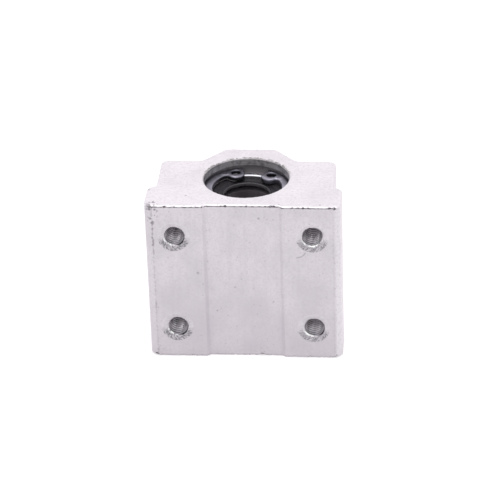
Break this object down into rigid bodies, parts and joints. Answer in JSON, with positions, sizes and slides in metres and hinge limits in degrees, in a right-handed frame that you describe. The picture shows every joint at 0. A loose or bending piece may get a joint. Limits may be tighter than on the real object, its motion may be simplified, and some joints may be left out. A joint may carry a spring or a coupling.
{
  "type": "linear bearing block",
  "caption": "Aluminium block that carries a recirculating ball bearing, so that it glides along a round shaft; it bolts under a carriage through tapped holes.",
  "frame": {"origin": "on the shaft axis, on the end face that the block stands on", "axes": "+Z along the shaft axis, -Y out of the bolted mounting face, X across the block"},
  "size_m": [0.034, 0.022, 0.03],
  "materials": {
    "milled_aluminium": "bright milled, light grain",
    "bearing_steel": "ground",
    "cage_resin": "matte",
    "ring_steel": "dark oiled steel",
    "seal_rubber": "smooth rubber",
    "wire_steel": "drawn",
    "ball_steel": "polished"
  },
  "bodies": {
    "housing": {"block": "milled_aluminium", "bearing_sleeve": "bearing_steel", "ball_cage": "cage_resin", "upper_retaining_ring": "ring_steel", "lower_retaining_ring": "ring_steel", "upper_seal": "seal_rubber", "lower_seal": "seal_rubber", "upper_side_ring": "wire_steel", "lower_side_ring": "wire_steel"},
    "loaded_row_1": {"loaded_balls_1": "ball_steel"},
    "upper_turn_1": {"upper_turn_balls_1": "ball_steel"},
    "returning_row_1": {"returning_balls_1": "ball_steel"},
    "lower_turn_1": {"lower_turn_balls_1": "ball_steel"},
    "loaded_row_2": {"loaded_balls_2": "ball_steel"},
    "upper_turn_2": {"upper_turn_balls_2": "ball_steel"},
    "returning_row_2": {"returning_balls_2": "ball_steel"},
    "lower_turn_2": {"lower_turn_balls_2": "ball_steel"},
    "loaded_row_3": {"loaded_balls_3": "ball_steel"},
    "upper_turn_3": {"upper_turn_balls_3": "ball_steel"},
    "returning_row_3": {"returning_balls_3": "ball_steel"},
    "lower_turn_3": {"lower_turn_balls_3": "ball_steel"},
    "loaded_row_4": {"loaded_balls_4": "ball_steel"},
    "upper_turn_4": {"upper_turn_balls_4": "ball_steel"},
    "returning_row_4": {"returning_balls_4": "ball_steel"},
    "lower_turn_4": {"lower_turn_balls_4": "ball_steel"}
  },
  "joints": [
    {"name": "loaded_travel_1", "type": "slide", "parent": "housing", "child": "loaded_row_1", "axis": [0, 0, 1], "range_m": [0, 0.00171]},
    {"name": "return_travel_1", "type": "slide", "parent": "housing", "child": "returning_row_1", "axis": [0, 0, -1], "range_m": [0, 0.00171]},
    {"name": "upper_roll_1", "type": "hinge", "parent": "housing", "child": "upper_turn_1", "pos_m": [0.0048, 0.00163, 0.02184], "axis": [-1, 0, 0], "range_deg": [0, 60]},
    {"name": "lower_roll_1", "type": "hinge", "parent": "housing", "child": "lower_turn_1", "pos_m": [0.0048, 0.00163, 0.00816], "axis": [-1, 0, 0], "range_deg": [0, 60]},
    {"name": "loaded_travel_2", "type": "slide", "parent": "housing", "child": "loaded_row_2", "axis": [0, 0, 1], "range_m": [0, 0.00171]},
    {"name": "return_travel_2", "type": "slide", "parent": "housing", "child": "returning_row_2", "axis": [0, 0, -1], "range_m": [0, 0.00171]},
    {"name": "upper_roll_2", "type": "hinge", "parent": "housing", "child": "upper_turn_2", "pos_m": [-0.00163, 0.0048, 0.02184], "axis": [0, -1, 0], "range_deg": [0, 60]},
    {"name": "lower_roll_2", "type": "hinge", "parent": "housing", "child": "lower_turn_2", "pos_m": [-0.00163, 0.0048, 0.00816], "axis": [0, -1, 0], "range_deg": [0, 60]},
    {"name": "loaded_travel_3", "type": "slide", "parent": "housing", "child": "loaded_row_3", "axis": [0, 0, 1], "range_m": [0, 0.00171]},
    {"name": "return_travel_3", "type": "slide", "parent": "housing", "child": "returning_row_3", "axis": [0, 0, -1], "range_m": [0, 0.00171]},
    {"name": "upper_roll_3", "type": "hinge", "parent": "housing", "child": "upper_turn_3", "pos_m": [-0.0048, -0.00163, 0.02184], "axis": [1, 0, 0], "range_deg": [0, 60]},
    {"name": "lower_roll_3", "type": "hinge", "parent": "housing", "child": "lower_turn_3", "pos_m": [-0.0048, -0.00163, 0.00816], "axis": [1, 0, 0], "range_deg": [0, 60]},
    {"name": "loaded_travel_4", "type": "slide", "parent": "housing", "child": "loaded_row_4", "axis": [0, 0, 1], "range_m": [0, 0.00171]},
    {"name": "return_travel_4", "type": "slide", "parent": "housing", "child": "returning_row_4", "axis": [0, 0, -1], "range_m": [0, 0.00171]},
    {"name": "upper_roll_4", "type": "hinge", "parent": "housing", "child": "upper_turn_4", "pos_m": [0.00163, -0.0048, 0.02184], "axis": [0, 1, 0], "range_deg": [0, 60]},
    {"name": "lower_roll_4", "type": "hinge", "parent": "housing", "child": "lower_turn_4", "pos_m": [0.00163, -0.0048, 0.00816], "axis": [0, 1, 0], "range_deg": [0, 60]}
  ],
  "couplings": [
    {"joint": "return_travel_1", "follows": "loaded_travel_1", "ratio": 1},
    {"joint": "upper_roll_1", "follows": "loaded_travel_1", "rad_per_m": 612.29},
    {"joint": "lower_roll_1", "follows": "loaded_travel_1", "rad_per_m": 612.29},
    {"joint": "return_travel_2", "follows": "loaded_travel_2", "ratio": 1},
    {"joint": "upper_roll_2", "follows": "loaded_travel_2", "rad_per_m": 612.29},
    {"joint": "lower_roll_2", "follows": "loaded_travel_2", "rad_per_m": 612.29},
    {"joint": "return_travel_3", "follows": "loaded_travel_3", "ratio": 1},
    {"joint": "upper_roll_3", "follows": "loaded_travel_3", "rad_per_m": 612.29},
    {"joint": "lower_roll_3", "follows": "loaded_travel_3", "rad_per_m": 612.29},
    {"joint": "return_travel_4", "follows": "loaded_travel_4", "ratio": 1},
    {"joint": "upper_roll_4", "follows": "loaded_travel_4", "rad_per_m": 612.29},
    {"joint": "lower_roll_4", "follows": "loaded_travel_4", "rad_per_m": 612.29}
  ]
}
